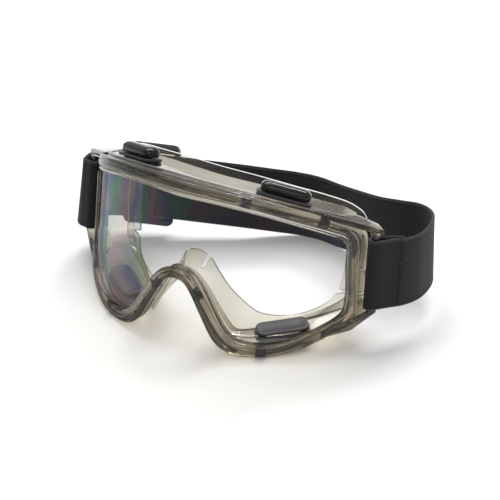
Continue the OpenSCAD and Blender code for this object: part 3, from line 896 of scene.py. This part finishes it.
def make_stitches(paint):
    """Row of stitches through both plies beside the left lug."""
    before, seam, after = BAND_LINE[SEAM_ROW - 1:SEAM_ROW + 2]
    heading = unit([after[0] - before[0], after[1] - before[1], 0])
    away = np.array([heading[1], -heading[0], 0])
    at = seam[:3] + away * (BAND_T / 2 + 0.02)
    lean = np.array([seam[3], seam[4], BAND_W - 0.1]) / BAND_W
    across = np.cross(away, lean)
    # How far along each stitch and how far out: its ends dive into the webbing
    bend = [(0.0, -0.45), (0.25, 0.0), (1.2, 0.12), (2.15, 0.0), (STITCH_L, -0.45)]
    points = []
    faces = []
    for z in np.arange(0.9, BAND_W - STITCH_L, STITCH_L + STITCH_GAP):
        base = len(points)
        for rise, out in bend:
            centre = at + lean * (z + rise) + away * out
            for a in np.linspace(0, 2 * math.pi, STITCH_SIDES, endpoint=False):
                points.append(centre + STITCH_R * (math.cos(a) * away + math.sin(a) * across))
        faces += [tuple(base + i for i in face) for face in loft_faces(len(bend), STITCH_SIDES, False)]
        last = len(points) - STITCH_SIDES
        faces += [tuple(range(base, base + STITCH_SIDES)), tuple(range(last, len(points)))[::-1]]
    stitches = new_piece("loop_stitches", on_table(points), faces, 60)
    dress(stitches, paint)
    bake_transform(stitches)
    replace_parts(stitches, "loop_stitching")


# ---- Slide buckle ----
def make_buckle(paint):
    """The buckle's exact solid with every edge softened."""
    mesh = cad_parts["slide_buckle"].data.copy()
    buckle = bpy.data.objects.new("slide_buckle_body", mesh)
    bpy.context.scene.collection.objects.link(buckle)
    bm = bmesh.new()
    bm.from_mesh(mesh)
    bmesh.ops.remove_doubles(bm, verts=bm.verts, dist=1e-6)
    bmesh.ops.dissolve_limit(bm, angle_limit=math.radians(1), verts=bm.verts, edges=bm.edges)
    bm.to_mesh(mesh)
    bm.free()
    soften = buckle.modifiers.new("soften", "BEVEL")
    soften.width = 0.55 * MM
    soften.segments = 3
    soften.limit_method = "ANGLE"
    soften.angle_limit = math.radians(40)
    apply_modifiers(buckle, 30)
    dress(buckle, paint, "buckle")
    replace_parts(buckle, "slide_buckle")


# ---- Studio ----
AIM = Vector((16.7, -18.7, 36.85)) * MM
VIEW_BACK = Vector((0.4395, -0.7492, 0.4955))
VIEW_DISTANCE = 2.15
VIEW_LENS = 302


def make_camera():
    """Long lens from the wearer's left front and above, aimed at the middle of the goggles."""
    data = bpy.data.cameras.new("photo_camera")
    data.lens = VIEW_LENS
    data.sensor_width = 36
    camera = bpy.data.objects.new("photo_camera", data)
    camera.location = AIM + VIEW_BACK * VIEW_DISTANCE
    camera.rotation_mode = "QUATERNION"
    camera.rotation_quaternion = (-VIEW_BACK).to_track_quat("-Z", "Y")
    bpy.context.scene.collection.objects.link(camera)
    bpy.context.scene.camera = camera


def softbox(name, at, size, power, aim=(0, 0, 0.03)):
    """Rectangular light, in metres and watts."""
    data = bpy.data.lights.new(name, "AREA")
    data.shape = "RECTANGLE"
    data.size, data.size_y = size
    data.energy = power
    light = bpy.data.objects.new(name, data)
    light.location = at
    light.rotation_mode = "QUATERNION"
    light.rotation_quaternion = (Vector(aim) - Vector(at)).to_track_quat("-Z", "Y")
    bpy.context.scene.collection.objects.link(light)


def make_studio():
    """Pale table, white surroundings, and a key, a strip and a fill light."""
    mesh = bpy.data.meshes.new("table")
    reach = 6.0
    mesh.from_pydata([(-reach, -reach, 0), (reach, -reach, 0), (reach, reach, 0), (-reach, reach, 0)], [],
                     [(0, 1, 2, 3)])
    table = bpy.data.objects.new("table", mesh)
    bpy.context.scene.collection.objects.link(table)
    paint = Paint("pale_table")
    speckle = paint.noise(30, 2)
    colour = paint.ramp(speckle, [(0.3, (0.93, 0.93, 0.93)), (0.7, (0.95, 0.95, 0.95))])
    mesh.materials.append(paint.finish(principled(paint, Base_Color=colour, Roughness=0.6,
                                                 Specular_IOR_Level=0.2)))
    world = bpy.data.worlds.new("studio")
    world.use_nodes = True
    world.node_tree.nodes["Background"].inputs[0].default_value = (1, 1, 1, 1)
    world.node_tree.nodes["Background"].inputs[1].default_value = 0.6
    bpy.context.scene.world = world
    softbox("key", (-0.45, 0.5, 1.4), (1.1, 0.9), 14)
    softbox("strip", (-0.1, 1.0, 1.06), (0.45, 0.18), 5)
    softbox("fill", (0.9, -1.2, 1.1), (0.7, 0.7), 3)
    bpy.context.scene.view_settings.view_transform = "Standard"


# ---- Build ----
make_camera()
vinyl = smoke_vinyl()
black = gloss_black("gloss_black_plastic", -0.003, 0.06)
slate = gloss_black("slate_black_plastic", 0.022, 0.38)
# The lens tab slots' walls get near-black paint as painted shade
make_rim(vinyl, gloss_black("lens_tab_shadow", -0.002, 0.2))
make_shell(vinyl)
make_skirt(clear_film("clear_skirt_film", (0.93, 0.915, 0.865), 0.5),
           clear_film("skirt_film_edge_painted_shade", (0.28, 0.27, 0.24), 0.5), edge_glow("skirt_lip_painted_glow"))
for lug_side, lug_name in ((1, "strap_lug_left"), (-1, "strap_lug_right")):
    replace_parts(make_lug(lug_side, lug_name + "_body", vinyl), lug_name)
make_lens(lens_coat())
for vent_level in ("top", "bottom"):
    for vent_side in (1, -1):
        make_vent(vent_level, vent_side, black, slate)
make_headband(webbing())
make_stitches(thread())
make_buckle(black)
make_studio()
